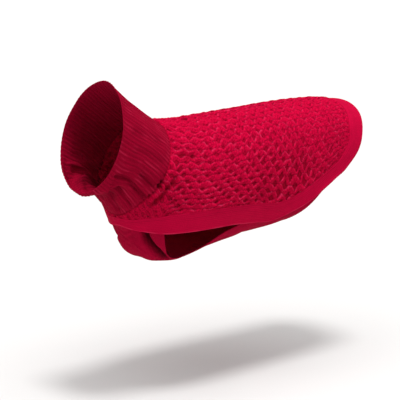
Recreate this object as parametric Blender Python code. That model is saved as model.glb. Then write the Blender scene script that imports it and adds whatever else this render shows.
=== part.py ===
"""A small dog's knitted sweater in the shape it takes when it is worn.

The pieces are the ones a maker knits and sews: a ribbed roll collar, a lattice-knit back panel,
a plain border band round the back panel's whole lower edge, and a fine-knit chest panel that
runs from under the band at the front, between the forelegs, to the belly. The collar is built
in a nape and a throat half, and the band in a front and a rear one.

Frame: metres, +Z up, the head end towards -Y and the tail end towards +Y, the dog's left at +X.
The origin is on the inner face of the back panel, over the withers, where the wearer carries it.

Every piece is read from one form, a tube of sections from the collar's rim to the rump. A place
on it is (row, degrees): row counts along the table of sections, and degrees go round a section
from 0 on the spine to 180 under the throat and belly, the same way on both sides.
"""

import math
from collections import namedtuple

import bpy
import numpy as np

MM = 0.001

# Walls, seams and trims, in millimetres.
BACK_WALL = 3.0
BAND_WALL = 2.2
COLLAR_WALL = 2.4
CHEST_WALL = 1.8
SEAM_GAP = 0.3
NECK_GAP = 0.5
TUCK_GAP = 0.7
RIB_COUNT = 76
RIB_HEIGHT = 0.9

# How finely the pieces are divided.
BACK_COLUMNS = 40
BACK_ROWS = 12
BAND_ROWS = 4
COLLAR_ROWS = 12
CHEST_ROWS = 31
CHEST_COLUMNS = 37
BAND_CUT = 15  # the column, counted from the chest, where the band's two halves meet

# Sections of the form in millimetres: where each crosses the spine and the throat or belly, seen
# from the side, half its width, and how much squarer than an ellipse it is above and below.
Section = namedtuple("Section", "top_y top_z bottom_y bottom_z half_width square_above square_below")
SECTIONS = [
    Section(-126, 56, -160, -57, 46, 0.00, 0.00),  # collar's rim, flared out under the chin
    Section(-109, 43, -149, -64, 48, 0.00, 0.00),
    Section(-92, 30, -136, -67, 50, 0.00, 0.00),
    Section(-75, 17, -122, -78, 52, 0.00, -0.02),
    Section(-58, 6, -111, -93, 54, 0.00, -0.03),  # neck seam
    Section(-38, 2, -100, -116, 59, 0.02, -0.03),  # front of the chest
    Section(-16, 0, -82, -145, 64, 0.03, 0.00),
    Section(12, 0, -50, -157, 66, 0.04, 0.03),  # between the forelegs, the deepest
    Section(52, 0, 0, -148, 66, 0.04, 0.05),
    Section(94, 2, 50, -141, 64, 0.04, 0.08),
    Section(134, 3, 98, -136, 62, 0.04, 0.12),
    Section(174, 2, 148, -130, 61, 0.04, 0.14),
    Section(211, -1, 194, -124, 60, 0.04, 0.14),
    Section(246, -7, 238, -119, 57, 0.04, 0.12),  # tail end of the back panel
    Section(272, -20, 272, -114, 48, 0.04, 0.10),  # rump, past every piece
]
RIM_ROW = 0
NECK_ROW = 4
SEAM_BOW = 0.2
COLLAR_PITCH = 18.0

# Lower edge of the band, from the middle of the chest to the middle of the back, and how many
# millimetres wide the band has stretched there.
Edge = namedtuple("Edge", "row degrees band")
HEM = [
    Edge(4.62, 180, 12),
    Edge(4.84, 162, 15),
    Edge(5.35, 140.5, 21),
    Edge(6.05, 122.5, 24),
    Edge(7.00, 115.5, 24),
    Edge(7.90, 121.5, 24),
    Edge(8.80, 130, 25),
    Edge(9.45, 134.5, 24),
    Edge(10.10, 127.5, 21),
    Edge(11.05, 112.5, 19),
    Edge(11.78, 100, 20),
    Edge(12.26, 82, 21),
    Edge(12.53, 58, 21),
    Edge(12.78, 30, 21),
    Edge(12.91, 0, 21),
]

# Lines of the back panel's knitting: how far along the band each ends, and where on the neck
# seam it starts.
Wale = namedtuple("Wale", "share degrees")
WALES = [
    Wale(0.00, 180),
    Wale(0.14, 118),
    Wale(0.25, 90),
    Wale(0.30, 76),
    Wale(0.36, 71),
    Wale(0.46, 66),
    Wale(0.60, 57),
    Wale(0.75, 42),
    Wale(0.88, 22),
    Wale(1.00, 0),
]

# Chest panel, front to rear: where each row of it crosses the middle and where it ends.
Strip = namedtuple("Strip", "middle_row edge_row edge_degrees")
CHEST = [
    Strip(4.25, 5.30, 127),  # behind the band
    Strip(4.55, 5.52, 130),
    Strip(5.20, 5.80, 135),  # front of the leg openings
    Strip(5.85, 6.12, 142),
    Strip(6.45, 6.50, 150),
    Strip(7.00, 6.98, 155),  # narrowest, between the legs
    Strip(7.45, 7.42, 149),
    Strip(7.80, 7.78, 134),
    Strip(8.12, 8.12, 129),
    Strip(8.50, 8.52, 126),  # back of the leg openings
    Strip(9.00, 9.10, 120),
    Strip(9.62, 9.95, 114),
    Strip(10.25, 11.20, 109),  # hollowed rear edge
]

# Folds of each piece between two places, the same on both sides, in millimetres: a trough has a
# depth above 0 and a ridge below 0.
Fold = namedtuple("Fold", "row_a degrees_a row_b degrees_b width depth")
COLLAR_FOLDS = [
    Fold(2.35, 180, 2.25, 142, 7, 5.0),  # crease under the chin
    Fold(1.40, 160, 1.45, 142, 8, -1.6),  # and the roll above it
    Fold(0.9, 124, 3.2, 122, 6, 2.4),  # down the side of the collar
    Fold(2.2, 109, 3.4, 108, 6, 1.8),
]
BACK_FOLDS = [
    Fold(4.90, 88, 4.65, 108, 7, 2.4),  # drawn from the neck seam
]
CHEST_FOLDS = [
    Fold(5.15, 148, 6.20, 151, 5.5, 8.5),  # deep, beside each foreleg
    Fold(5.55, 164, 6.40, 160, 8, -2.0),  # and the roll inside it
]

# How finely lines on the form are followed before they are divided, and the turn between two
# faces, in degrees, from which their shared edge stays crisp.
LINE_STEPS = 721
FOLD_STEPS = 25
OFFSET_STEPS = 5
CRISP_TURN = 50

CRIMSON = (0.52, 0.003, 0.035, 1.0)
DEEP_CRIMSON = (0.42, 0.002, 0.024, 1.0)


def through(table, places):
    """The table's columns read at places along a smooth curve through its rows."""
    rows = np.array(table, float)
    places = np.clip(places, 0, len(rows) - 1)
    low = np.minimum(places.astype(int), len(rows) - 2)
    t = (places - low)[..., None]
    before = rows[np.maximum(low - 1, 0)]
    start = rows[low]
    end = rows[low + 1]
    after = rows[np.minimum(low + 2, len(rows) - 1)]
    return 0.5 * (
        2 * start
        + (end - before) * t
        + (2 * before - 5 * start + 4 * end - after) * t**2
        + (3 * (start - end) + after - before) * t**3
    )


def smooth_form(row, degrees):
    """Points of the form before the folds, in millimetres. Degrees below 0 are the right side."""
    section = through(SECTIONS, np.asarray(row, float))
    top_y, top_z, bottom_y, bottom_z, half_width, above, below = np.moveaxis(section, -1, 0)
    turn = np.radians(degrees)
    square = np.where(np.cos(turn) > 0, above, below)
    share = (1 - np.cos(turn)) / 2
    across = half_width * (np.sin(turn) + square * np.sin(3 * turn)) / (1 - square)
    return np.stack(
        [across, top_y + (bottom_y - top_y) * share, top_z + (bottom_z - top_z) * share], -1
    )


def slopes(row, degrees):
    """How a point moves for one row and for one degree, in millimetres."""
    step_row, step_degrees = 0.02, 0.5
    by_row = smooth_form(row + step_row, degrees) - smooth_form(row - step_row, degrees)
    by_degree = smooth_form(row, degrees + step_degrees) - smooth_form(
        row, degrees - step_degrees
    )
    return by_row / (2 * step_row), by_degree / (2 * step_degrees)


def outward(row, degrees):
    by_row, by_degree = slopes(row, degrees)
    normal = np.cross(by_degree, by_row)
    return normal / np.linalg.norm(normal, axis=-1, keepdims=True)


def fold_depth(points, folds):
    """How far the folds draw the cloth in at each point, in millimetres."""
    depth = np.zeros(points.shape[:-1])
    share = np.linspace(0, 1, FOLD_STEPS)
    for fold in folds:
        row = fold.row_a + (fold.row_b - fold.row_a) * share
        degrees = fold.degrees_a + (fold.degrees_b - fold.degrees_a) * share
        path = np.concatenate([smooth_form(row, degrees), smooth_form(row, -degrees)])
        gap = np.linalg.norm(points[..., None, :] - path, axis=-1).min(axis=-1)
        depth += fold.depth * np.exp(-((gap / fold.width) ** 2))
    return depth


def cloth(row, degrees, lift, folds):
    """Points of a piece: the form drawn in by the piece's folds and moved out by a lift."""
    row, degrees = np.broadcast_arrays(row, degrees)
    points = smooth_form(row, degrees)
    rise = lift - fold_depth(points, folds)
    return points + outward(row, degrees) * rise[..., None]


def evenly(places, points, count):
    """Places along a line, spread so that the points they give are evenly apart."""
    steps = np.linalg.norm(np.diff(points, axis=0), axis=1)
    travelled = np.concatenate([[0], np.cumsum(steps)])
    wanted = np.linspace(0, travelled[-1], count)
    return np.stack([np.interp(wanted, travelled, column) for column in places.T], -1)


def seam_row(degrees):
    """The neck seam's row, which runs a little forward on each side of the throat."""
    turn = np.radians(degrees)
    return NECK_ROW - SEAM_BOW * np.sin(2 * turn) ** 2 * (np.cos(turn) < 0)


def hem_line(count):
    """Places from the middle of the chest to the middle of the back, and the band's widths."""
    start = Edge(HEM[1].row, 360 - HEM[1].degrees, HEM[1].band)
    end = Edge(HEM[-2].row, -HEM[-2].degrees, HEM[-2].band)
    table = [start, *HEM, end]
    places = through(table, np.linspace(1, len(HEM), LINE_STEPS))
    even = evenly(places, smooth_form(places[:, 0], places[:, 1]), count)
    return even[:, :2], even[:, 2]


def step_in(places, distance):
    """The line moved over the form towards the neck by a distance for each place."""
    moved = places.copy()
    stride = distance[:, None] / OFFSET_STEPS
    points = smooth_form(moved[:, 0], moved[:, 1])
    ahead = np.gradient(points, axis=0)
    ahead[0, 1:] = 0
    ahead[-1, 1:] = 0
    inward = np.cross(outward(moved[:, 0], moved[:, 1]), ahead)
    for _ in range(OFFSET_STEPS):
        normal = outward(moved[:, 0], moved[:, 1])
        inward -= normal * np.sum(normal * inward, axis=1, keepdims=True)
        inward *= stride / np.linalg.norm(inward, axis=1, keepdims=True)
        by_row, by_degree = slopes(moved[:, 0], moved[:, 1])
        for place, step, *basis in zip(moved, inward, by_row, by_degree):
            place += np.linalg.lstsq(np.transpose(basis), step, rcond=None)[0]
    return moved


def mirrored(left):
    """Places of the left side on the right side, in the opposite order."""
    return left[..., ::-1, :] * (1, -1)


def both_sides(left):
    """Places of the left side carried round the right side, as a closed line from the chest."""
    return np.concatenate([left, mirrored(left[..., 1:-1, :])], axis=-2)


def in_halves(left, cut, pitch):
    """A left side cut at a column and each half carried over to the right: front and rear."""
    step = SEAM_GAP / 2 / pitch
    front = left[..., : cut + 1, :].copy()
    front[..., -1, :] += (left[..., cut - 1, :] - left[..., cut, :]) * step
    rear = left[..., cut:, :].copy()
    rear[..., 0, :] += (left[..., cut + 1, :] - left[..., cut, :]) * step
    front = np.concatenate([mirrored(front[..., 1:, :]), front], axis=-2)
    rear = np.concatenate([rear, mirrored(rear[..., :-1, :])], axis=-2)
    return front, rear


def length(points):
    return np.linalg.norm(np.diff(points, axis=0), axis=1).sum()


def between(start, end, count):
    """Rows of places from one line of places to another."""
    share = np.linspace(0, 1, count)[:, None, None]
    return start + (end - start) * share


def material(name, colour, roughness):
    made = bpy.data.materials.new(name)
    made.use_nodes = True
    shader = made.node_tree.nodes["Principled BSDF"]
    shader.inputs["Base Color"].default_value = colour
    shader.inputs["Roughness"].default_value = roughness
    shader.inputs["Metallic"].default_value = 0.0
    return made


def grid_faces(rows, columns, ring):
    """Quads of a grid whose last row joins its first, and in a ring its last column too."""
    faces = []
    for r in range(rows):
        near, far = r * columns, (r + 1) % rows * columns
        for c in range(columns if ring else columns - 1):
            d = (c + 1) % columns
            faces.append((near + c, far + c, far + d, near + d))
    return faces


def side_faces(rows, columns):
    """Quads that close a wall's two sides, where the wall isn't a ring."""
    faces = []
    for r in range(rows - 1):
        edge = [r * columns, (2 * rows - 1 - r) * columns]
        edge += [edge[1] - columns, edge[0] + columns]
        faces.append(edge)
        faces.append([corner + columns - 1 for corner in reversed(edge)])
    return faces


def add_wall(name, rows, degrees, wall, folds, finish, ring=True, lift=0.0):
    """A piece of cloth on a grid of places: its outer points, then its inner ones back again."""
    outer = cloth(rows, degrees, lift + wall, folds)
    inner = cloth(rows, degrees, lift, folds)
    count, columns = outer.shape[:2]
    points = np.concatenate([outer, inner[::-1]]).reshape(-1, 3) * MM
    faces = grid_faces(2 * count, columns, ring)
    if not ring:
        faces += side_faces(count, columns)
    mesh = bpy.data.meshes.new(name)
    mesh.from_pydata(points.tolist(), [], faces)
    mesh.materials.append(finish)
    mesh.shade_smooth()
    mesh.set_sharp_from_angle(angle=math.radians(CRISP_TURN))
    garment.objects.link(bpy.data.objects.new(name, mesh))


def add_collar():
    """The roll collar: a rib-knit tube from the rim under the chin to the neck seam."""
    dense = np.linspace(180, -540, 2 * LINE_STEPS - 1)
    dense = np.stack([seam_row(dense), dense], -1)
    points = smooth_form(dense[:, 0], dense[:, 1])
    lines = evenly(dense, points, 4 * RIB_COUNT + 1)[:, 1]
    gap = SEAM_GAP / 2 / (length(points) / (4 * RIB_COUNT))
    side = (RIB_COUNT + 1) / 2
    finish = material("RibKnit", DEEP_CRIMSON, 0.85)
    halves = {
        "collar_nape": (side, 2 * RIB_COUNT - side),
        "collar_throat": (2 * RIB_COUNT - side, 2 * RIB_COUNT + side),
    }
    for name, (first, last) in halves.items():
        between_ends = range(math.ceil(first), math.ceil(last))
        columns = np.array([first + gap, *between_ends, last - gap])
        degrees = np.interp(columns, np.arange(len(lines)), lines)
        end = seam_row(degrees) - NECK_GAP / COLLAR_PITCH
        rows = RIM_ROW + (end - RIM_ROW) * np.linspace(0, 1, COLLAR_ROWS)[:, None]
        ribs = COLLAR_WALL + RIB_HEIGHT * (1 - np.abs(columns % 2 - 1))
        add_wall(name, rows, degrees, ribs, COLLAR_FOLDS, finish, ring=False)


def add_back_panel():
    """The lattice-knit panel between the neck seam and the band."""
    hem, band = hem_line(BACK_COLUMNS)
    lower = step_in(hem, band + SEAM_GAP)
    share = np.linspace(0, 1, BACK_COLUMNS)
    degrees = np.interp(share, [line.share for line in WALES], [line.degrees for line in WALES])
    upper = np.stack([seam_row(degrees), degrees], -1)
    places = both_sides(between(upper, lower, BACK_ROWS))
    finish = material("LatticeKnit", CRIMSON, 0.85)
    add_wall("back_panel", places[..., 0], places[..., 1], BACK_WALL, BACK_FOLDS, finish)


def add_band():
    """The border band, from the back panel's edge to the hem."""
    hem, band = hem_line(BACK_COLUMNS)
    left = between(step_in(hem, band), hem, BAND_ROWS)
    pitch = length(smooth_form(hem[:, 0], hem[:, 1])) / (BACK_COLUMNS - 1)
    finish = material("PlainKnit", CRIMSON, 0.85)
    names = "border_band_front", "border_band_rear"
    for name, places in zip(names, in_halves(left, BAND_CUT, pitch)):
        rows, degrees = places[..., 0], places[..., 1]
        add_wall(name, rows, degrees, BAND_WALL, [], finish, ring=False)


def add_chest_panel():
    """The fine-knit panel under the chest, tucked inside the band where they are sewn."""
    strip = through(CHEST, np.linspace(0, len(CHEST) - 1, CHEST_ROWS))
    middle_row, edge_row, edge_degrees = (column[:, None] for column in strip.T)
    across = np.linspace(-1, 1, CHEST_COLUMNS)[None, :]
    rows = middle_row + (edge_row - middle_row) * across**2
    degrees = 180 - (180 - edge_degrees) * across
    finish = material("FineKnit", CRIMSON, 0.9)
    lift = -TUCK_GAP - CHEST_WALL
    add_wall(
        "chest_panel", rows, degrees, CHEST_WALL, CHEST_FOLDS, finish, ring=False, lift=lift
    )


for old in list(bpy.data.objects):
    bpy.data.objects.remove(old)
garment = bpy.data.collections.new("DogSweater")
bpy.context.scene.collection.children.link(garment)
add_collar()
add_back_panel()
add_band()
add_chest_panel()
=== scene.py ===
import math

import bmesh
import bpy
import numpy as np
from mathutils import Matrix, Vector
from mathutils.kdtree import KDTree
from numpy.polynomial.polynomial import polyval


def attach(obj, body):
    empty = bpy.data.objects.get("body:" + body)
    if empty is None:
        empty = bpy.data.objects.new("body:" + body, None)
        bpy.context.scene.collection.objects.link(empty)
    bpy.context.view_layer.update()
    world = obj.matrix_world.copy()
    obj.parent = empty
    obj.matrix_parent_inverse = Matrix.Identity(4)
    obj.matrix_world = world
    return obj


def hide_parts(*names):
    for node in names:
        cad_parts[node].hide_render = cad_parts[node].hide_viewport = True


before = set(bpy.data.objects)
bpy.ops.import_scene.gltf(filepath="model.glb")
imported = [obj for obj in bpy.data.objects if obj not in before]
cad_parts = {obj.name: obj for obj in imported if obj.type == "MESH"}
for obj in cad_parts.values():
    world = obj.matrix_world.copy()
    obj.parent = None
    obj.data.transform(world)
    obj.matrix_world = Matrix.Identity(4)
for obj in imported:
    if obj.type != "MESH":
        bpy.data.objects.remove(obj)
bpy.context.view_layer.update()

# Dog sweater: ribbed roll collar, lattice-knit back, plain border band and fine-knit chest panel.
# Lengths are in millimetres until a mesh is made. A place on the garment is (row, degrees): rows
# count from the collar's rim to the rump, degrees from 0 on the spine to 180 under the throat.
# Each wall is that form moved outward by a rise, with its folds and its knit in the rise.

mm = 0.001


# camera

camera = {
    "azimuth": 48.0,
    "elevation": 12.5,
    "distance": 2.6,
    "target": (0.0, 0.0155, -0.0955),
    "frameWidth": 0.46,  # what the square frame spans at the target, in metres
    "sensor": 36.0,
}


def addCamera(c):
    turn, lift = math.radians(c["azimuth"]), math.radians(c["elevation"])
    back = Vector((math.sin(turn) * math.cos(lift), -math.cos(turn) * math.cos(lift), math.sin(lift)))
    data = bpy.data.cameras.new("camera")
    made = bpy.data.objects.new("camera", data)
    bpy.context.scene.collection.objects.link(made)
    made.location = Vector(c["target"]) + back * c["distance"]
    made.rotation_euler = (-back).to_track_quat("-Z", "Y").to_euler()
    data.sensor_width = c["sensor"]
    data.lens = c["sensor"] * c["distance"] / c["frameWidth"]
    bpy.context.scene.camera = made


addCamera(camera)
print("camera placed")


# the garment's form

form = {
    # top y, top z, bottom y, bottom z, half width, squarer above, squarer below
    "sections": [
        (-126, 56, -160, -57, 46, 0.00, 0.00),  # collar's rim
        (-109, 43, -149, -64, 48, 0.00, 0.00),
        (-92, 30, -136, -67, 50, 0.00, 0.00),
        (-75, 17, -122, -78, 52, 0.00, -0.02),
        (-58, 6, -111, -93, 54, 0.00, -0.03),  # neck seam
        (-38, 2, -100, -116, 59, 0.02, -0.03),
        (-16, 0, -82, -145, 64, 0.03, 0.00),
        (12, 0, -50, -157, 66, 0.04, 0.03),  # between the forelegs
        (52, 0, 0, -148, 66, 0.04, 0.05),
        (94, 2, 50, -141, 64, 0.04, 0.08),
        (134, 3, 98, -136, 62, 0.04, 0.12),
        (174, 2, 148, -130, 61, 0.04, 0.14),
        (211, -1, 194, -124, 60, 0.04, 0.14),
        (246, -7, 238, -119, 57, 0.04, 0.12),  # tail end of the back
        (272, -20, 272, -114, 48, 0.04, 0.10),
    ],
    "neckRow": 4.0,
    "seamBow": 0.2,  # how far the neck seam bows forward below the shoulders, in rows
    # lower edge of the band: row, degrees, width of the band
    "hem": [
        (4.62, 180, 12), (4.84, 162, 15), (5.35, 140.5, 21), (6.05, 122.5, 24),
        (7.00, 115.5, 24), (7.90, 121.5, 24), (8.80, 130.5, 25), (9.45, 137, 25),
        (10.05, 132, 20), (10.55, 125.5, 19), (11.00, 115.5, 17), (11.40, 107.5, 16),
        (11.78, 100, 17), (12.26, 82, 20), (12.53, 58, 22), (12.78, 30, 22), (12.91, 0, 22),
    ],
    "seamLap": 2.0,  # the net runs this far onto the band
    "lineSteps": 721,
    "stepIns": 5,
    "middle": 0.9,  # height at which the face and the reverse meet on a rounded edge
}


def through(table, places):
    # a smooth curve through the rows of a table, at places counted in rows
    rows = np.array(table, float)
    places = np.clip(places, 0, len(rows) - 1)
    low = np.minimum(places.astype(int), len(rows) - 2)
    t = (places - low)[..., None]
    before, start = rows[np.maximum(low - 1, 0)], rows[low]
    end, after = rows[low + 1], rows[np.minimum(low + 2, len(rows) - 1)]
    return 0.5 * (
        2 * start
        + (end - before) * t
        + (2 * before - 5 * start + 4 * end - after) * t**2
        + (3 * (start - end) + after - before) * t**3
    )


def smoothForm(row, degrees):
    section = through(form["sections"], np.asarray(row, float))
    topY, topZ, bottomY, bottomZ, halfWidth, above, below = np.moveaxis(section, -1, 0)
    turn = np.radians(degrees)
    square = np.where(np.cos(turn) > 0, above, below)
    share = (1 - np.cos(turn)) / 2
    across = halfWidth * (np.sin(turn) + square * np.sin(3 * turn)) / (1 - square)
    return np.stack([across, topY + (bottomY - topY) * share, topZ + (bottomZ - topZ) * share], -1)


def slopes(row, degrees):
    byRow = (smoothForm(row + 0.02, degrees) - smoothForm(row - 0.02, degrees)) / 0.04
    byDegree = smoothForm(row, degrees + 0.5) - smoothForm(row, degrees - 0.5)
    return byRow, byDegree


def outward(row, degrees):
    byRow, byDegree = slopes(row, degrees)
    normal = np.cross(byDegree, byRow)
    return normal / np.linalg.norm(normal, axis=-1, keepdims=True)


def foldDepth(points, folds):
    # each fold: places along its line, width, depth inward; the same on both sides
    depth = np.zeros(points.shape[:-1])
    flat = points.reshape(-1, 3)
    perPlace = 16
    for line, width, deep in folds:
        line = np.array(line, float)
        at = np.linspace(0, len(line) - 1, perPlace * (len(line) - 1) + 1)
        row, degrees = (np.interp(at, np.arange(len(line)), column) for column in line.T)
        near = np.full(len(flat), np.inf)
        for point in np.concatenate([smoothForm(row, degrees), smoothForm(row, -degrees)]):
            near = np.minimum(near, ((flat - point) ** 2).sum(1))
        depth += deep * np.exp(-near / width**2).reshape(depth.shape)
    return depth


def travelled(points, axis=0):
    # distance over the cloth from the first point, along a line or along a grid's lines
    strides = np.linalg.norm(np.diff(points, axis=axis), axis=-1)
    return np.insert(np.cumsum(strides, axis=axis), 0, 0, axis=axis)


def evenly(places, points, count):
    run = travelled(points)
    wanted = np.linspace(0, run[-1], count)
    return np.stack([np.interp(wanted, run, column) for column in places.T], -1)


def seamRow(degrees):
    turn = np.radians(degrees)
    return form["neckRow"] - form["seamBow"] * np.sin(2 * turn) ** 2 * (np.cos(turn) < 0)


def hemLine(count):
    # places from the middle of the chest to the middle of the back, and the band's widths
    hem = form["hem"]
    start = (hem[1][0], 360 - hem[1][1], hem[1][2])
    end = (hem[-2][0], -hem[-2][1], hem[-2][2])
    places = through([start, *hem, end], np.linspace(1, len(hem), form["lineSteps"]))
    even = evenly(places, smoothForm(places[:, 0], places[:, 1]), count)
    return even[:, :2], even[:, 2]


def stepIn(places, distance):
    # the line moved over the form towards the neck
    moved = places.copy()
    stride = distance[:, None] / form["stepIns"]
    ahead = np.gradient(smoothForm(moved[:, 0], moved[:, 1]), axis=0)
    ahead[0, 1:] = ahead[-1, 1:] = 0
    inward = np.cross(outward(moved[:, 0], moved[:, 1]), ahead)
    for _ in range(form["stepIns"]):
        normal = outward(moved[:, 0], moved[:, 1])
        inward -= normal * (normal * inward).sum(1, keepdims=True)
        inward *= stride / np.linalg.norm(inward, axis=1, keepdims=True)
        byRow, byDegree = slopes(moved[:, 0], moved[:, 1])
        a, b, c = (byRow**2).sum(1), (byRow * byDegree).sum(1), (byDegree**2).sum(1)
        p, q = (byRow * inward).sum(1), (byDegree * inward).sum(1)
        moved += np.stack([c * p - b * q, a * q - b * p], -1) / (a * c - b * b)[:, None]
    return moved


def bothSides(left):
    right = left[..., -2:0:-1, :] * (1, -1)
    return np.concatenate([left, right], axis=-2)


def softNoise(seed, x, y, size):
    # a smooth random field from about -1 to 1, with features of a given size
    cells = 256
    table = np.random.default_rng(seed).uniform(-1, 1, (cells, cells))
    x, y = np.broadcast_arrays(np.asarray(x, float) / size, np.asarray(y, float) / size)
    left, low = np.floor(x).astype(int), np.floor(y).astype(int)
    u, v = x - left, y - low
    u, v = u * u * (3 - 2 * u), v * v * (3 - 2 * v)
    left, low, right, high = left % cells, low % cells, (left + 1) % cells, (low + 1) % cells
    bottom = table[left, low] * (1 - u) + table[right, low] * u
    top = table[left, high] * (1 - u) + table[right, high] * u
    return bottom * (1 - v) + top * v


def smoothStep(x, low, high):
    t = np.clip((x - low) / (high - low), 0, 1)
    return t * t * (3 - 2 * t)


neckSeam = {
    "side": 106,  # degrees at which its notches are deepest
    "spread": 17,
    "notch": 2.8,  # degrees that a notch takes
    "reach": 2.4,  # and how far it reaches over the cloth, with what that varies by
    "uneven": 1.2,
    "deep": 3.2,
}


def seamDip(degrees, distance):
    # stitches pull uneven notches along the neck seam, most at the side of the neck
    pull = np.clip(0.5 + 1.5 * softNoise(23, degrees, 0 * degrees, neckSeam["notch"]), 0, 1.5)
    reach = neckSeam["reach"] + neckSeam["uneven"] * softNoise(26, degrees, 0 * degrees, 2.6)
    fromSide = (np.abs(degrees) - neckSeam["side"]) / neckSeam["spread"]
    return pull * np.exp(-(fromSide**2) - (distance / reach) ** 2)


# yarns

def toLinear(hexColour):
    parts = [int(hexColour[i : i + 2], 16) / 255 for i in (1, 3, 5)]
    return (*(p / 12.92 if p <= 0.04045 else ((p + 0.055) / 1.055) ** 2.4 for p in parts), 1.0)


def addNode(tree, kind, inputs=None, **settings):
    node = tree.nodes.new(kind)
    for name, value in settings.items():
        setattr(node, name, value)
    for socket, value in (inputs or {}).items():
        if isinstance(value, bpy.types.NodeSocket):
            tree.links.new(value, node.inputs[socket])
        else:
            node.inputs[socket].default_value = value
    return node


# brushed acrylic and wool yarn: matt, deep dye, painted shade in its hollows and a painted
# highlight where the light grazes it; a stitch is its length and width in millimetres, and the
# bump's depth is in millimetres too
yarns = {
    # soft thick strands, with a painted highlight on top and painted shade in the holes of the net
    "brushedYarnLattice": {
        "light": "#D8053C", "dark": "#960128", "paintedShade": "#8E0320", "paintedHighlight": "#F0386A",
        "stitch": (3.6, 3.6), "bump": 0.8, "bumpDepth": 1.25,
    },
    # narrow ribs with their grooves in painted shade; all its colours are darkened as painted shade
    "brushedYarnRib": {
        "light": "#A0052B", "dark": "#76021E", "paintedShade": "#500213", "paintedHighlight": "#D83058",
        "stitch": (2.2, 2.8), "bump": 0.6, "bumpDepth": 0.6,
    },
    # close, almost smooth knit, evenly bright, with painted shade in its grooves
    "brushedYarnPlain": {
        "light": "#C7063A", "dark": "#9A032B", "paintedShade": "#60021A", "paintedHighlight": "#E83C66",
        "stitch": (2.0, 2.2), "bump": 0.5, "bumpDepth": 0.45,
    },
    # the same yarn as the band's in a finer knit, its colours darkened as painted shade for its folds
    "brushedYarnFine": {
        "light": "#B80634", "dark": "#820224", "paintedShade": "#520214", "paintedHighlight": "#D83058",
        "stitch": (1.9, 1.7), "bump": 0.5, "bumpDepth": 0.4,
    },
}

# features in a metre: stitches wander over 8 mm and the dye clouds over 22 mm; fibres are drawn
# at 0.9 mm, coarser than real ones so that they show
grain = {"wander": 120.0, "cloud": 45.0, "fibres": 1100.0}

finish = {
    "Roughness": 0.85,
    "IOR": 1.5,
    "Specular IOR Level": 0.02,
    "Sheen Weight": 0.03,
    "Sheen Roughness": 0.45,
    "Sheen Tint": toLinear("#D83058"),
}


def stitchHeight(tree, place, stitch):
    # uneven hands: the stitches wander a little; the UV map is in metres of cloth, with u along
    # the wales and v across them
    along, across = stitch
    stitches = addNode(tree, "ShaderNodeMapping", {
        "Vector": place.outputs["UV"], "Scale": (1 / (along * mm), 1 / (across * mm), 1.0)})
    wander = addNode(tree, "ShaderNodeTexNoise", {
        "Vector": place.outputs["Object"], "Scale": grain["wander"], "Detail": 2.0})
    nudge = addNode(tree, "ShaderNodeVectorMath", {
        0: wander.outputs["Color"], 1: (0.5, 0.5, 0.5)}, operation="SUBTRACT")
    nudge = addNode(tree, "ShaderNodeVectorMath", {
        0: nudge.outputs[0], "Scale": 0.9}, operation="SCALE")
    moved = addNode(tree, "ShaderNodeVectorMath", {
        0: stitches.outputs[0], 1: nudge.outputs[0]}, operation="ADD")
    split = addNode(tree, "ShaderNodeSeparateXYZ", {0: moved.outputs[0]})
    # a V for each stitch: the phase along the wale leans with the distance from its middle
    lean = addNode(tree, "ShaderNodeMath", {0: split.outputs["Y"], 1: 1.0}, operation="PINGPONG")
    phase = addNode(tree, "ShaderNodeMath", {
        0: lean.outputs[0], 1: 0.9, 2: split.outputs["X"]}, operation="MULTIPLY_ADD")
    wave = addNode(tree, "ShaderNodeMath", {0: phase.outputs[0], 1: 2 * math.pi}, operation="MULTIPLY")
    wave = addNode(tree, "ShaderNodeMath", {0: wave.outputs[0]}, operation="COSINE")
    ridge = addNode(tree, "ShaderNodeMath", {
        0: split.outputs["Y"], 1: 2 * math.pi}, operation="MULTIPLY")
    ridge = addNode(tree, "ShaderNodeMath", {0: ridge.outputs[0]}, operation="COSINE")
    loops = addNode(tree, "ShaderNodeMath", {
        0: ridge.outputs[0], 1: -0.6, 2: wave.outputs[0]}, operation="MULTIPLY_ADD")
    fibres = addNode(tree, "ShaderNodeTexNoise", {
        "Vector": place.outputs["Object"], "Scale": grain["fibres"], "Detail": 3.0, "Roughness": 0.7})
    return addNode(tree, "ShaderNodeMath", {
        0: loops.outputs[0], 1: 0.3, 2: fibres.outputs["Fac"]}, operation="MULTIPLY_ADD")


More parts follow.
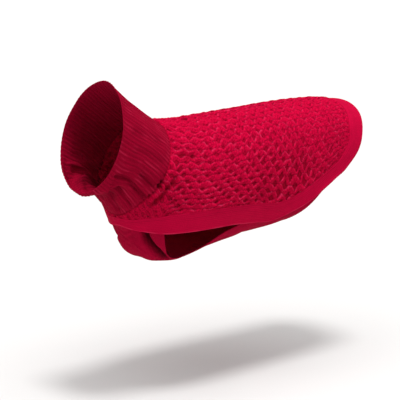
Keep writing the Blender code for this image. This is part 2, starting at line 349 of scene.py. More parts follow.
def makeYarn(name, y):
    made = bpy.data.materials.new(name)
    made.use_nodes = True
    tree = made.node_tree
    shader = tree.nodes["Principled BSDF"]
    place = addNode(tree, "ShaderNodeTexCoord")
    height = stitchHeight(tree, place, y["stitch"]).outputs[0]
    bump = addNode(tree, "ShaderNodeBump", {
        "Strength": y["bump"], "Distance": y["bumpDepth"] * mm, "Height": height})
    # uneven dye, and painted shade between the plies where the stitches lie low
    cloud = addNode(tree, "ShaderNodeTexNoise", {
        "Vector": place.outputs["Object"], "Scale": grain["cloud"], "Detail": 3.0})
    shade = addNode(tree, "ShaderNodeMapRange", {
        "Value": height, "From Min": 0.1, "From Max": 0.9, "To Min": 0.55, "To Max": 0.0})
    shade = addNode(tree, "ShaderNodeMath", {
        0: cloud.outputs["Fac"], 1: 0.5, 2: shade.outputs[0]}, operation="MULTIPLY_ADD")
    shade = addNode(tree, "ShaderNodeMath", {
        0: shade.outputs[0], 1: 0.15}, operation="SUBTRACT", use_clamp=True)
    # painted shade deep down between the strands, ribs and folds, and a painted highlight along
    # the crisp edges of the strands and ribs
    paintedShade = addNode(tree, "ShaderNodeAttribute", attribute_name="paintedShade")
    paintedHighlight = addNode(tree, "ShaderNodeAttribute", attribute_name="paintedHighlight")
    # colour sockets of a Mix node are found by place, since its float ones share their names
    under = toLinear(y["light"])
    for factor, layer in (
        (shade.outputs[0], "dark"), (paintedShade.outputs["Fac"], "paintedShade"), (paintedHighlight.outputs["Fac"], "paintedHighlight"),
    ):
        mixed = addNode(tree, "ShaderNodeMix", {
            "Factor": factor, 6: under, 7: toLinear(y[layer])}, data_type="RGBA")
        under = mixed.outputs[2]
    tree.links.new(under, shader.inputs["Base Color"])
    tree.links.new(bump.outputs[0], shader.inputs["Normal"])
    for socket, value in finish.items():
        shader.inputs[socket].default_value = value
    return made


materials = {name: makeYarn(name, y) for name, y in yarns.items()}
print("yarns made")


# walls of cloth

def makePiece(name, points, faces, uv, paintedShade, paintedHighlight, material):
    mesh = bpy.data.meshes.new(name)
    mesh.from_pydata((points * mm).tolist(), [], faces)
    mesh.materials.append(material)
    mesh.shade_smooth()
    corners = np.zeros(len(mesh.loops), int)
    mesh.loops.foreach_get("vertex_index", corners)
    layer = mesh.uv_layers.new(name="cloth")
    layer.data.foreach_set("uv", (uv[corners] * mm).astype(np.float32).ravel())
    # painted shade and a painted highlight, kept on the points for the yarn's colour
    for kind, values in (("paintedShade", paintedShade), ("paintedHighlight", paintedHighlight)):
        shown = mesh.attributes.new(kind, "FLOAT", "POINT")
        shown.data.foreach_set("value", np.clip(values, 0, 1).astype(np.float32))
    mesh.validate()
    piece = bpy.data.objects.new(name, mesh)
    bpy.context.scene.collection.objects.link(piece)
    return piece


def edgeStops(length, step, bend):
    # distances along a strip, close together where its two edges are rounded
    near = np.array([0, 0.06, 0.2, 0.45, 0.75, 1.0]) * bend
    count = max(2, int(round((length - 2 * bend) / step)) + 1)
    return np.concatenate([near[:-1], np.linspace(bend, length - bend, count), length - near[-2::-1]])


def rounding(distance, bend):
    # 0 on an edge, 1 from the rounding's end inward, along a quarter circle
    t = np.clip(1 - distance / bend, 0, 1)
    return np.sqrt(1 - t * t)


def tubePiece(name, face, reverse, material):
    # a wall round a tube from the rows of its face and those of its reverse; each side is its
    # points, UV map, painted shade and painted highlight
    points, uv, paintedShade, paintedHighlight = (np.concatenate([a, b[::-1]]) for a, b in zip(face, reverse))
    rows, columns = paintedShade.shape
    r, c = np.meshgrid(np.arange(rows), np.arange(columns), indexing="ij")
    far, right = (r + 1) % rows, (c + 1) % columns
    quads = np.stack([r * columns + c, far * columns + c, far * columns + right, r * columns + right], -1)
    faces = quads.reshape(-1, 4).tolist()
    print(name, "faces", len(faces))
    return makePiece(
        name, points.reshape(-1, 3), faces, uv.reshape(-1, 2), paintedShade.ravel(), paintedHighlight.ravel(), material)


# roll collar

collar = {
    "ribs": 76,
    "perRib": 8,
    "ribPitch": 4.5,
    "rib": 0.5,  # height of the ribs, on the face and on the reverse
    "wander": 0.16,  # how far a rib strays from its line, in ribs
    "wall": 1.3,  # height of the grooves of the face
    "round": 1.3,
    "length": 74.0,  # from the rim to the neck seam
    "rowPitch": 18.0,  # millimetres for one row of the form here
    "neckLap": 0.7,  # how far its end runs past the neck seam
    "rowStep": 1.2,
    "reverseStep": 3.2,
    "gather": 9.0,  # how far from the seam the stitches draw the ribs in
    "perDegree": 0.8,  # millimetres round the neck for a degree
    "slack": 1.3,  # height of the soft waves in the tube, and of those in the rim
    "rimSlack": 1.5,
    "rimOut": 0.9,  # how far the last 20 mm stand out, and the lip of the rim on top of that
    "lip": 1.2,
    "flare": 4.2,  # how far the rim is turned out under the throat
    # degrees, and how far from the rim the turned-out part ends there
    "flap": [(112, 13), (121, 13), (132, 15), (146, 21), (163, 14), (180, 13)],
    "folds": [
        ([(2.35, 180), (2.25, 142)], 7, 3.6),  # hollow under the chin
        ([(0.81, 163.5), (0.92, 153.5), (1.19, 146.5), (1.45, 141.5), (1.78, 139.5)], 2.2, 1.8),
        ([(1.08, 164), (1.2, 154), (1.45, 148), (1.8, 143)], 4.6, 4.2),  # below the turned-out rim
        ([(1.78, 139.5), (2.03, 143.5), (2.62, 145.5), (3.19, 146.5), (3.7, 146)], 1.9, 2.1),
        (
            [(0.78, 123.5), (1.2, 121.5), (1.65, 122.5), (2.43, 125.5), (2.95, 127), (3.6, 125.5)],
            2.6, 3.8,
        ),
        ([(1.2, 150), (1.71, 155.5), (2.4, 162.5), (2.88, 167.5), (3.5, 168)], 3.8, 2.5),
        ([(2.5, 109.5), (2.82, 110), (3.14, 110.5), (3.65, 109)], 3.2, 3.2),
        (
            [(0.94, 142), (1.08, 136.5), (1.2, 132.5), (1.5, 130), (2.32, 133.5), (3.04, 134),
             (3.6, 131.5)],
            2.8, -1.8,
        ),
        ([(0.45, 158), (0.66, 148), (0.86, 139), (1.0, 131)], 3.4, -1.0),
        ([(2.3, 152), (3.4, 157)], 3.5, -1.2),
        ([(1.2, 109), (1.99, 114), (2.58, 118), (3.5, 119)], 4, -1.0),
        ([(2.0, 104), (3.6, 98)], 4, -0.8),
        ([(1.2, 70), (3.1, 62)], 6, 1.4),
        ([(0.8, 36), (2.6, 30)], 7, 1.2),
        ([(1.6, 88), (3.5, 82)], 5, 1.3),
        ([(0.7, 12), (2.9, 4)], 8, 0.9),
    ],
    "flat": (0.342, 0.085),
    "area": 0.0252,
}


def collarSide(c, degrees, step, outer):
    stops = edgeStops(c["length"], step, c["round"])[:, None]
    end = seamRow(degrees) + c["neckLap"] / c["rowPitch"]
    row = end * (stops / c["length"])
    turn, along = np.broadcast_arrays(degrees, stops)
    away, toSeam = np.abs(turn), c["length"] - along
    rib = (np.arange(len(degrees)) / c["perRib"])[None, :]
    around = rib * c["ribPitch"]
    wander = c["wander"] * softNoise(3, along, around, 16) * smoothStep(along, 0, 14)
    wave = 0.5 + 0.5 * np.cos(2 * np.pi * (rib + wander))
    wave = wave**0.7 if outer else 1 - wave**1.4
    high = c["wall"] + c["rib"] * wave if outer else c["rib"] * (1 - wave)
    gather = smoothStep(along, c["length"] - c["gather"], c["length"])
    high = high * (1 - 0.6 * gather) + gather * 0.3 * softNoise(5, rib, along, 2.2)
    edge = np.minimum(along, toSeam)
    rise = form["middle"] + (high - form["middle"]) * rounding(edge, c["round"])
    # the folds end at the seam, whose stitches pull it in
    points = smoothForm(row, turn)
    fold = foldDepth(points, c["folds"]) * smoothStep(toSeam, 0, 7)
    dip = seamDip(turn, toSeam)
    rise -= fold + neckSeam["deep"] * dip
    # the tube is slack, and its rim stands out with a lip
    softly = away * c["perDegree"]
    atRim = 1 - smoothStep(along, 0, 20)
    rise += c["slack"] * softNoise(9, softly, along, 26) * smoothStep(edge, 2, 14)
    rise += (c["rimSlack"] * softNoise(7, softly, 0 * along, 23) + c["rimOut"]) * atRim
    rise += c["lip"] * (1 - smoothStep(along, 0, 5))
    # under the throat the rim is turned out and hangs over the crease below it
    flapEnd = np.interp(away, *zip(*c["flap"]))
    flap = 1 - smoothStep(along, flapEnd - 3.6, flapEnd + 0.6)
    rise += c["flare"] * flap * smoothStep(away, 112, 140) * smoothStep(along, -12, 12)
    # painted shade in the grooves between the ribs, and a painted highlight on the crests of some ribs
    if outer:
        uneven = np.clip(0.5 + 0.8 * softNoise(8, along, around, 9), 0, 1)
        paintedShade = (1 - wave) ** 2 * (0.14 + 0.22 * uneven)
        paintedHighlight = 0.5 * wave**5 * np.clip(0.9 * softNoise(6, along / 9, rib, 1.3) - 0.1, 0, 1)
    else:
        paintedShade, paintedHighlight = 0.3 * wave, 0 * wave
    # painted shade also at the seam, in its notches and in the folds
    paintedShade = paintedShade + 0.2 * smoothStep(toSeam, 3.5, 0) + 0.9 * dip + 0.08 * np.clip(fold, 0, 6)
    uv = np.stack(np.broadcast_arrays(along, around), -1)
    return points + outward(row, turn) * rise[..., None], uv, paintedShade, paintedHighlight


def makeCollar(c):
    line = np.linspace(180, -180, form["lineSteps"] * 2)
    line = np.stack([seamRow(line), line], -1)
    count = c["ribs"] * c["perRib"]
    degrees = evenly(line, smoothForm(line[:, 0], line[:, 1]), count + 1)[:-1, 1]
    face = collarSide(c, degrees, c["rowStep"], True)
    reverse = collarSide(c, degrees, c["reverseStep"], False)
    piece = tubePiece("collarKnit", face, reverse, materials["brushedYarnRib"])
    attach(piece, "root")
    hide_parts("collar_nape", "collar_throat")
    return piece


# lattice-knit back

back = {
    "step": 1.1,  # the grid's spacing on the middle of the flank
    "reach": 79.0,  # millimetres for a radian round the flank
    "rowPitch": 20.0,  # and for one row of the form behind the neck seam
    "hemPoints": 520,
    "startRow": 8.0,  # distances along the body are counted from this row, behind the forelegs
    "wall": 1.0,  # ground of the net
    "relief": 1.7,  # how far the strands stand above it
    # strands in 100 mm round the body at the spine, how that grows with the square of the
    # distance from it, and how the repeats bow: powers of the place along the body in 100 mm
    "strands": (10.0, 1.0, -0.6),
    "growth": (1.1, -2.2, -0.8, 1.55),
    "bow": (0.91, -0.92, -0.08, 0.4),
    "droop": 0.26,
    "repeats": 6.6,  # in 100 mm along the body
    "neckEnd": -1.1,  # in 100 mm; the strands run straight on in front of it
    "evenBelow": 1.4,  # where the strands' spacing stops changing, in 100 mm from the spine
    "fewest": 6.0,
    "swing": 0.36,  # how far a strand swings to each side, in pitches
    "corner": 0.9,  # 1 would give its zigzag sharp corners
    "repeatLength": 15.0,
    "strandRun": 18.0,  # millimetres of strand in a repeat
    "strand": 4.0,  # half its width in millimetres
    # in half widths of a strand, from its middle: where it is highest; then how far it falls
    # from there to its lower side
    "crest": -0.42,
    "fall": 0.76,
    "highlightPlace": -0.27,  # the painted highlight lies this far from the crest, and is about this wide
    "highlightWidth": 0.14,
    "stitches": 4,  # in each swing of a strand
    "folds": [
        ([(4.66, 86), (4.54, 96), (4.42, 108), (4.32, 123)], 3.3, 3.6),  # dragged towards the collar
        ([(5.1, 92), (4.92, 102), (4.8, 112)], 3.6, 1.4),
        ([(4.22, 92), (4.12, 106), (4.04, 122)], 3.0, -1.0),
        ([(4.3, 62), (5.4, 58)], 6, 1.4),
        ([(4.3, 30), (5.1, 24)], 6, 1.0),
        ([(5.2, 120), (6.4, 96)], 9, 1.4),
        ([(6.1, 99), (8.2, 96)], 8, -1.0),
        ([(8.6, 108), (10.4, 88)], 12, 1.0),
        ([(9.8, 60), (11.6, 66)], 14, 0.8),
    ],
    "flat": (0.35, 0.36),
    "area": 0.0741,
}


def aroundBody(degrees, b):
    return degrees * b["reach"] * math.pi / 180


def latticePlace(along, degrees, b):
    # strands counted from the spine, repeats counted along the body, and the strands' pitch;
    # the net is drawn down and closer at the shoulder and drawn out towards the rump
    s, t = along / 100, np.abs(aroundBody(degrees, b)) / 100
    held, near = np.maximum(s, b["neckEnd"]), np.minimum(t, b["evenBelow"])
    first, growth = polyval(held, b["strands"]), polyval(held, b["growth"])
    slope = first + 3 * near**2 * growth
    strands = near * first + near**3 * growth + (t - near) * slope
    repeats = b["repeats"] * s + near**2 * polyval(held, b["bow"]) - b["droop"] * near**4
    return strands * np.where(degrees < 0, -1, 1), repeats, 100 / np.maximum(slope, b["fewest"])


def netFade(along, degrees):
    # the net is drawn tight over the back towards the tail
    return smoothStep(along - 1.1 * (np.abs(degrees) - 40), 15, 85)


def strandHeight(along, degrees, b):
    # height of the net from 0 to 1 at a distance along the body and round it, the place along
    # and across the strand on top, and the mask of the painted highlight on that strand
    around = aroundBody(degrees, b)
    strands, repeats, pitch = latticePlace(along, degrees, b)
    phase = 2 * np.pi * repeats
    phase = phase + 0.9 * softNoise(11, along, around, 38) + 0.5 * softNoise(12, along, around, 11)
    strands = strands + 0.2 * softNoise(13, along, around, 30) + 0.16 * softNoise(18, along, around, 6)
    swing = b["swing"] * (1 + 0.4 * softNoise(14, along, around, 10))
    swing = swing * (0.7 + 0.3 * smoothStep(along, -70, 20))
    wide = b["strand"] * (1 + 0.22 * softNoise(15, along, around, 8))
    # the net is drawn open low on the flank and closed over the back
    wide = wide * (1.14 - 0.24 * smoothStep(np.abs(around), 55, 115) + 0.14 * netFade(along, degrees))
    down = np.where(degrees < 0, -1, 1)
    crest, corner = b["crest"], b["corner"]
    height, alongStrand, acrossStrand, rim = (np.zeros(along.shape) for _ in range(4))
    for step in range(-1, 3):
        strand = np.floor(strands) + step
        turn = phase + strand * np.pi + 0.4 * softNoise(16, along, strand * 7.3, 9)
        zig = np.arcsin(corner * np.sin(turn)) / math.asin(corner)
        lean = corner * np.cos(turn) / np.sqrt(1 - (corner * np.sin(turn)) ** 2) / math.asin(corner)
        slope = swing * pitch * lean * 2 * np.pi / b["repeatLength"]
        gap = down * (strands - strand - swing * zig) * pitch / np.sqrt(1 + slope**2) / wide
        # crisp edge towards the spine, long slope away from it
        upper = np.sqrt(np.clip(1 - ((gap - crest) / (1 + crest)) ** 2, 0, 1))
        lower = 1 - b["fall"] * np.clip((gap - crest) / (1 - crest), 0, 1) ** 1.5
        lower = lower * smoothStep(1.12 - gap, 0, 0.3)
        bead = np.where(gap < crest, upper, lower)
        # legs that climb towards the rump lie over the others
        bead = bead * (0.97 - 0.03 * np.tanh(degrees / 6) * np.cos(turn))
        # stitches along the strand, leaning back from its middle
        stitch = np.cos(turn * b["stitches"] + 1.4 * np.abs(gap - crest))
        bead = bead * (0.88 + 0.12 * stitch + 0.07 * np.sin(turn + 0.6))
        top = bead > height
        height = np.where(top, bead, height)
        alongStrand = np.where(top, turn / (2 * np.pi) * b["strandRun"] + strand * 5.3, alongStrand)
        acrossStrand = np.where(top, gap * wide, acrossStrand)
        rim = np.where(top, np.exp(-(((gap - crest - b["highlightPlace"]) / b["highlightWidth"]) ** 2)), rim)
    return height, alongStrand, acrossStrand, rim


def netGrid(b, tail):
    # rows a step apart on the flank, degrees a step apart round it
    fine = np.linspace(form["neckRow"] - form["seamBow"], tail + 0.02, 4000)
    run = travelled(smoothForm(fine, np.full_like(fine, 70.0)))
    rows = np.interp(np.arange(0, run[-1], b["step"]), run, fine)
    columns = int(round(2 * math.pi * b["reach"] / b["step"] / 2)) * 2
    return rows, -180 + 360 * np.arange(columns) / columns


def keptCells(inside):
    # cells with three corners or more on the panel, the points they use, and the points that
    # have a kept cell on every side
    right = np.roll(inside, -1, axis=1)
    cells = (inside[:-1].astype(int) + inside[1:] + right[:-1] + right[1:]) >= 3
    used, full = np.zeros_like(inside), np.ones_like(inside)
    for down, across in ((0, 0), (1, 0), (0, 1), (1, 1)):
        touched = np.zeros_like(inside)
        touched[down : down + len(cells)] = np.roll(cells, across, axis=1)
        used |= touched
        full &= touched
    return cells, used, full


def panelEdge(lower):
    # places along the panel's two edges, the lower one and the neck seam, and a tree of them
    line = bothSides(lower)
    neck = np.linspace(-180, 180, 1441)[:-1]
    places = np.concatenate([line, np.stack([seamRow(neck), neck], -1)])
    tree = KDTree(len(places))
    for n, point in enumerate(smoothForm(places[:, 0], places[:, 1])):
        tree.insert(point, n)
    tree.balance()
    return places, tree


def netSurface(b, row, turn, along, edge):
    # points of the face and of the reverse, the UV map, the painted shade and the painted highlight
    points, normal, away = smoothForm(row, turn), outward(row, turn), np.abs(turn)
    height, alongStrand, acrossStrand, rim = strandHeight(along, turn, b)
    fromNeck = np.clip((row - seamRow(turn)) * b["rowPitch"], 0, 99)
    settle = smoothStep(edge, 0.0, 2.4 + 3.5 * smoothStep(row, 10.5, 12.0))
    # the net lies flatter beside the neck seam, low on the shoulder and towards the tail, and
    # below the throat it is dragged to half its height
    fade = netFade(along, turn)
    dragged = smoothStep(away, 106, 122) * (1 - smoothStep(row, 5.0, 6.0))
    calm = 0.75 + 0.25 * smoothStep(fromNeck, 1, 10)
    calm = calm * (1 - 0.25 * smoothStep(away, 98, 112) * (1 - smoothStep(row, 5.6, 7.0)))
    calm = calm * (1 - 0.45 * fade) * (1 - 0.5 * dragged)
    # along the spine it stands higher, up in a knot for each repeat
    stand = 1 + 0.7 * np.exp(-((turn / 38) ** 2))
    knots = 0.8 * np.cos(2 * np.pi * latticePlace(along, turn, b)[1]) * np.exp(-((turn / 32) ** 2))
    # the seam puckers it and pulls it in
    pucker = 0.7 * np.sin(turn * 0.62 + 2.2 * softNoise(21, turn, row, 17)) * np.exp(-fromNeck / 9)
    dip = seamDip(turn, fromNeck)
    folded = foldDepth(points, b["folds"]) + 0.9 * softNoise(22, along, turn * 1.3, 42)
    folded = folded * smoothStep(edge, 0, 6)
    pulled = folded + neckSeam["deep"] * dip
    rise = b["wall"] + b["relief"] * stand * height * calm + pucker
    rise = rise + knots * smoothStep(along, -95, -80)
    rise = form["middle"] + (rise - form["middle"]) * settle - pulled
    face = points + normal * rise[..., None]
    reverse = points + normal * (0.6 * (1 - settle) - 0.15 * height - pulled)[..., None]
    # painted shade in the holes of the net, more of it low on the flank, along the panel's edges, in the
    # seam's notches and folds and under the throat; a painted highlight on each strand's upper edge
    low = smoothStep(np.abs(aroundBody(turn, b)), 45, 115)
    paintedShade = np.clip(1 - height, 0, 1) ** 1.3 * (0.5 + 0.4 * low) * calm * settle
    atEdge = (1 - smoothStep(edge, 0.0, 2.4)) * (0.16 + 0.39 * np.exp(-fromNeck / 3))
    paintedShade = np.maximum(paintedShade, atEdge) + 0.9 * dip
    paintedShade = paintedShade + 0.45 * np.clip(folded - 1.1, 0, 2.0) + 0.15 * dragged
    paintedHighlight = rim * settle * np.clip(0.22 + 0.7 * softNoise(24, along, turn, 3.4), 0, 1)
    paintedHighlight = paintedHighlight * (1 - 0.3 * fade) * (1 - 0.8 * dragged)
    # the UV map follows each strand: u along it, v across it from its middle
    return face, reverse, np.stack([alongStrand, acrossStrand], -1), paintedShade, paintedHighlight


def faceQuads(cells, index):
    i, j = np.nonzero(cells)
    k = (j + 1) % cells.shape[1]
    return np.stack([index[i, j], index[i + 1, j], index[i + 1, k], index[i, k]], -1).tolist()


def reverseFaces(cells, full, index):
    # blocks of four cells become one face where none of their points is at the edge
    blockRows, columns = len(cells) // 2, cells.shape[1]
    inner = full[:-2] & full[1:-1] & full[2:]
    inner = inner & np.roll(inner, -1, axis=1) & np.roll(inner, -2, axis=1)
    merged = np.zeros((blockRows + 2, columns // 2), bool)
    merged[:blockRows] = inner[::2, ::2]
    single, faces = cells.copy(), []
    for row, column in np.argwhere(merged):
        r, c = 2 * row, 2 * column
        d, e = c + 1, (c + 2) % columns
        single[r : r + 2, c : c + 2] = False
        # a block has its side's middle point where what lies there isn't merged
        ring = [
            (True, r, c), (not merged[row - 1, column], r, d),
            (True, r, e), (not merged[row, (column + 1) % (columns // 2)], r + 1, e),
            (True, r + 2, e), (not merged[row + 1, column], r + 2, d),
            (True, r + 2, c), (not merged[row, column - 1], r + 1, c),
        ]
        faces.append([int(index[i, j]) for shown, i, j in ring if shown])
    return faces + [quad[:1] + quad[:0:-1] for quad in faceQuads(single, index)]


def sideWalls(cells, index, reverseIndex):
    # each side of a kept cell that no other kept cell shares joins the face to the reverse
    i, j = np.nonzero(cells)
    k = (j + 1) % cells.shape[1]
    kept = np.pad(cells, ((1, 1), (0, 0)))
    walls = []
    for beside, a, b in (
        (kept[i, j], (i, k), (i, j)),
        (kept[i + 2, j], (i + 1, j), (i + 1, k)),
        (kept[i + 1, j - 1], (i, j), (i + 1, j)),
        (kept[i + 1, k], (i + 1, k), (i, k)),
    ):
        a, b = (tuple(part[~beside] for part in place) for place in (a, b))
        walls.append(np.stack([reverseIndex[a], reverseIndex[b], index[b], index[a]], -1))
    return np.concatenate(walls).tolist()


def dropLoosePoints(piece):
    # the reverse's larger faces leave points that nothing uses
    shaped = bmesh.new()
    shaped.from_mesh(piece.data)
    loose = [point for point in shaped.verts if not point.link_faces]
    bmesh.ops.delete(shaped, geom=loose, context="VERTS")
    shaped.to_mesh(piece.data)
    shaped.free()


def makeBack(b):
    hem, band = hemLine(b["hemPoints"])
    lower = stepIn(hem, band - form["seamLap"])
    tail = lower[-1, 0]
    rows, degrees = netGrid(b, tail)
    row, turn = np.meshgrid(rows, degrees, indexing="ij")
    along = travelled(smoothForm(row, turn))
    along = along - along[np.searchsorted(rows, b["startRow"])]
    # what lies on the panel: behind the neck seam and above the band
    reach = np.where(row > tail, -1, np.interp(row, lower[:, 0], lower[:, 1]))
    cells, used, full = keptCells((row > seamRow(turn)) & (np.abs(turn) < reach))
    # border points move onto the panel's edge, a hair behind the seam
    places, tree = panelEdge(lower)
    points = smoothForm(row, turn)
    border = used & ~full
    for i, j in np.argwhere(border):
        row[i, j], turn[i, j] = places[tree.find(points[i, j])[1]]
    row[border] += np.where(row[border] < 4.6, 0.004, 0)
    # distance from the edge
    points = smoothForm(row, turn)
    edge = np.full(row.shape, 99.0)
    for i, j in np.argwhere(used):
        edge[i, j] = tree.find(points[i, j])[2]
    face, reverse, uv, paintedShade, paintedHighlight = (
        part[used] for part in netSurface(b, row, turn, along, edge))
    # numbers of the points that are kept, those of the face first
    index = np.full(used.shape, -1)
    index[used] = np.arange(len(face))
    reverseIndex = index + len(face)
    faces = faceQuads(cells, index) + reverseFaces(cells, full, reverseIndex)
    faces += sideWalls(cells, index, reverseIndex)
    piece = makePiece(
        "backKnit", np.concatenate([face, reverse]), faces, np.concatenate([uv, uv]),
        np.concatenate([paintedShade, 0.6 * paintedShade]), np.concatenate([paintedHighlight, 0 * paintedHighlight]),
        materials["brushedYarnLattice"])
    dropLoosePoints(piece)
    print("backKnit faces", len(faces), "triangles", sum(len(f) - 2 for f in faces))
    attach(piece, "root")
    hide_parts("back_panel")
    return piece


# border band

border = {
    "columns": 834,
    "length": 917.0,  # all round
    "tail": 458.0,  # how far the middle of the tail end is from the middle of the chest
    "width": 21.0,  # at which its rows are laid out; the real width follows the hem
    "ridge": 2.2,  # from one row of stitches to the next
    "perRidge": 4,
    "reverseStep": 3.0,
    "wall": 1.7,
    "relief": 0.16,
    "round": 1.0,
    "lip": 0.5,
    "slack": 0.5,
    "pleat": 0.45,
    "flat": (0.92, 0.025),
    "area": 0.0216,
}


def borderSide(o, hem, upper, wide, step, outer):
    along = np.linspace(0, o["length"], o["columns"], endpoint=False)
    share = edgeStops(o["width"], step, o["round"])[:, None] / o["width"]
    places = upper + (hem - upper) * share[..., None]
    row, turn = places[..., 0], places[..., 1]
    down = share * wide
    edge = np.minimum(down, wide - down)
    soft = rounding(edge, o["round"])
    ridges = 0.5 - 0.5 * np.cos(2 * np.pi * (down / o["ridge"] + 0.35 * softNoise(31, along, down, 23)))
    streak = np.clip(0.45 + 0.9 * softNoise(36, along / 9, down, 2.2), 0, 1)
    # slack, with small pleats across the band where it turns round the tail end
    ripple = o["slack"] * softNoise(33, along, down, 34) * smoothStep(edge, 0.5, 6)
    fromTail = np.abs((along + o["tail"]) % o["length"] - o["tail"]) - o["tail"]
    atTail = np.exp(-((fromTail / 110) ** 2)) * smoothStep(edge, 0.5, 7)
    ripple = ripple + o["pleat"] * softNoise(34, along - 0.4 * down, down / 4, 6) * atTail
    if outer:
        # the rows of stitches stand out less towards the chest, and come and go in streaks
        stitch = 0.5 + 0.5 * np.sin(2 * np.pi * along / 2.6 + 3 * softNoise(32, along, down, 8))
        plain = 0.35 + 0.65 * smoothStep(row, 6.5, 8.5)
        high = o["relief"] * ridges * (0.8 + 0.2 * stitch) * (0.3 + 0.7 * streak) * plain
        high = o["wall"] + high + o["lip"] * np.exp(-(((wide - down - 2.6) / 1.6) ** 2))
        # a painted highlight along the lower lip
        paintedHighlight = 0.4 * np.exp(-(((wide - down - 1.2) / 0.7) ** 2))
        paintedHighlight = paintedHighlight * np.clip(0.6 + 0.7 * softNoise(35, along, down, 7), 0, 1)
    else:
        high, paintedHighlight = 0.1 * ridges, 0 * down
    rise = form["middle"] + (high - form["middle"]) * soft + ripple
    # painted shade in the grooves between the ridges, most on the upper half, and on the rounded edges
    upperHalf = 1 - smoothStep(down, 0.25 * wide, 0.6 * wide)
    paintedShade = (0.05 + 0.2 * upperHalf * streak) * (1 - ridges) * soft + 0.3 * (1 - soft)
    uv = np.stack(np.broadcast_arrays(along, down), -1)
    return smoothForm(row, turn) + outward(row, turn) * rise[..., None], uv, paintedShade, paintedHighlight


def makeBorder(o):
    hem, band = hemLine(o["columns"] // 2 + 1)
    upper = stepIn(hem, band)
    wide = np.concatenate([band, band[-2:0:-1]])
    lines = bothSides(hem), bothSides(upper), wide
    face = borderSide(o, *lines, o["ridge"] / o["perRidge"], True)
    reverse = borderSide(o, *lines, o["reverseStep"], False)
    piece = tubePiece("borderKnit", face, reverse, materials["brushedYarnPlain"])
    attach(piece, "root")
    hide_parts("border_band_front", "border_band_rear")
    return piece


# chest panel

chest = {
    # middle row, edge row, edge degrees
    "strip": [
        (4.25, 5.30, 127), (4.55, 5.52, 130), (5.20, 5.80, 135), (5.85, 6.12, 142),
        (6.45, 6.50, 150), (7.00, 6.98, 155), (7.45, 7.42, 149), (7.80, 7.78, 134),
        (8.12, 8.12, 129), (8.50, 8.52, 126), (9.00, 9.10, 120), (9.62, 9.95, 114),
        (10.25, 11.20, 109),
    ],
    "rows": 190,
    "columns": 150,
    "length": 250.0,  # at which its rows and columns are laid out
    "width": 130.0,
    "wall": 1.5,
    "tuck": 0.7,  # how far inside the form it lies
    "round": 1.1,
    "wale": 2.1,
    "relief": 0.18,
    "folds": [
        ([(5.1, 149), (5.35, 151.5), (6.0, 151), (6.4, 154.5), (6.9, 163)], 4.0, 11.0),  # beside the leg
        ([(5.55, 157.5), (6.2, 157.5), (6.7, 163)], 3.0, -1.8),
        ([(5.55, 168), (6.2, 166)], 8, -1.4),
        ([(6.2, 179), (6.8, 170)], 10, 1.8),
        ([(5.41, 170.5), (5.65, 165), (5.9, 161), (6.33, 163), (6.9, 164)], 1.4, -1.0),
        ([(6.35, 160), (6.6, 166), (6.85, 174)], 2.4, 2.6),
        ([(5.0, 183), (4.9, 168)], 1.8, 1.3),
        ([(5.27, 182), (5.12, 167)], 1.7, 1.2),
        ([(5.52, 181), (5.4, 171)], 1.7, 1.0),
        ([(4.9, 160), (5.6, 172)], 5, 1.0),
        ([(7.3, 160), (8.2, 146)], 7, 1.8),
        ([(7.9, 172), (9.0, 158)], 9, 1.3),
        ([(8.9, 150), (10.2, 138)], 10, 1.0),
    ],
    "flat": (0.195, 0.305),
    "area": 0.0305,
}


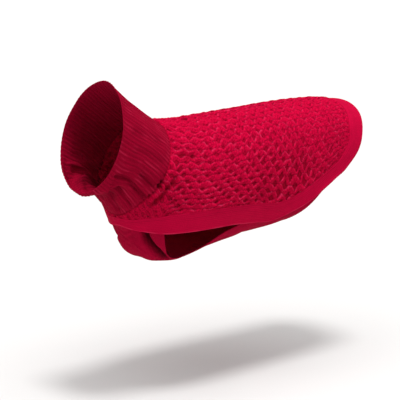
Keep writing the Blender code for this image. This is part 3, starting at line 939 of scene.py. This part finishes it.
def makeChest(c):
    # rows and columns lie close together along the rounded edges
    down = edgeStops(c["length"], c["length"] / c["rows"], c["round"]) / c["length"]
    across = edgeStops(c["width"], c["width"] / c["columns"], c["round"]) / c["width"] * 2 - 1
    strip = through(c["strip"], down * (len(c["strip"]) - 1))
    middleRow, edgeRow, edgeDegrees = (column[:, None] for column in strip.T)
    row = middleRow + (edgeRow - middleRow) * across**2
    turn = 180 - (180 - edgeDegrees) * across
    points, normal = smoothForm(row, turn), outward(row, turn)
    u, v = travelled(points, axis=0), travelled(points, axis=1)
    edge = np.minimum(np.minimum(u, u[-1] - u), np.minimum(v, v[:, -1:] - v))
    rib = 0.5 + 0.5 * np.cos(2 * np.pi * (v - v[:, v.shape[1] // 2, None]) / c["wale"])
    sag = foldDepth(points, c["folds"]) + 0.6 * softNoise(41, u, v, 26) * smoothStep(edge, 1, 10)
    # face and reverse stand away from the middle of the wall
    half, soft = c["wall"] / 2, rounding(edge, c["round"])
    face = -c["tuck"] - half + (half + c["relief"] * rib) * soft - sag
    reverse = -c["tuck"] - half - half * soft - sag
    points = np.stack([points + normal * rise[..., None] for rise in (face, reverse)])
    a, b = np.arange(2 * row.size).reshape(2, *row.shape)
    quads = [
        np.stack([a[:-1, :-1], a[1:, :-1], a[1:, 1:], a[:-1, 1:]], -1).reshape(-1, 4),
        np.stack([b[:-1, :-1], b[:-1, 1:], b[1:, 1:], b[1:, :-1]], -1).reshape(-1, 4),
    ]
    sides = (a[0], b[0]), (a[-1, ::-1], b[-1, ::-1]), (a[::-1, 0], b[::-1, 0]), (a[:, -1], b[:, -1])
    for near, far in sides:
        quads.append(np.stack([near[:-1], near[1:], far[1:], far[:-1]], -1))
    faces = np.concatenate(quads).tolist()
    uv = np.stack([u, v], -1).reshape(-1, 2)
    # painted shade in the grooves between the wales and in the folds
    paintedShade = (0.25 * (1 - rib) + 0.1 * np.clip(sag, 0, 9)).ravel()
    piece = makePiece(
        "chestKnit", points.reshape(-1, 3), faces, np.concatenate([uv, uv]),
        np.concatenate([paintedShade, paintedShade]), np.zeros(2 * len(paintedShade)), materials["brushedYarnFine"])
    print("chestKnit faces", len(faces))
    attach(piece, "root")
    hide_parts("chest_panel")
    return piece


backKnit = makeBack(back)
makeCollar(collar)
makeBorder(border)
makeChest(chest)
print("cloth made")


# studio

studio = {
    "floor": -0.30,
    "size": 24.0,
    "paper": "#D3D2D1",
    "sky": 0.38,
    "lampFrom": (0.16, -0.04, 1.0),
    # spread in degrees and strength of the softbox and of the smaller lamp in front of it
    "lamps": [(70.0, 2.3), (14.0, 1.7)],
}


def addStudio(t):
    bpy.ops.object.select_all(action="DESELECT")
    bpy.ops.mesh.primitive_plane_add(size=t["size"], location=(0, 0, t["floor"]))
    floor = bpy.context.active_object
    floor.name = "floor"
    # matt white background paper
    paper = bpy.data.materials.new("whitePaper")
    paper.use_nodes = True
    shader = paper.node_tree.nodes["Principled BSDF"]
    shader.inputs["Base Color"].default_value = toLinear(t["paper"])
    shader.inputs["Roughness"].default_value = 0.9
    floor.data.materials.append(paper)
    world = bpy.data.worlds.new("studio")
    bpy.context.scene.world = world
    world.use_nodes = True
    world.node_tree.nodes["Background"].inputs["Color"].default_value = (1, 1, 1, 1)
    world.node_tree.nodes["Background"].inputs["Strength"].default_value = t["sky"]
    for spread, strength in t["lamps"]:
        data = bpy.data.lights.new("softbox", "SUN")
        data.angle = math.radians(spread)
        data.energy = strength
        lamp = bpy.data.objects.new("softbox", data)
        bpy.context.scene.collection.objects.link(lamp)
        lamp.rotation_euler = Vector(t["lampFrom"]).to_track_quat("Z", "Y").to_euler()
    bpy.context.scene.view_settings.view_transform = "Standard"


addStudio(studio)
print("studio lit")
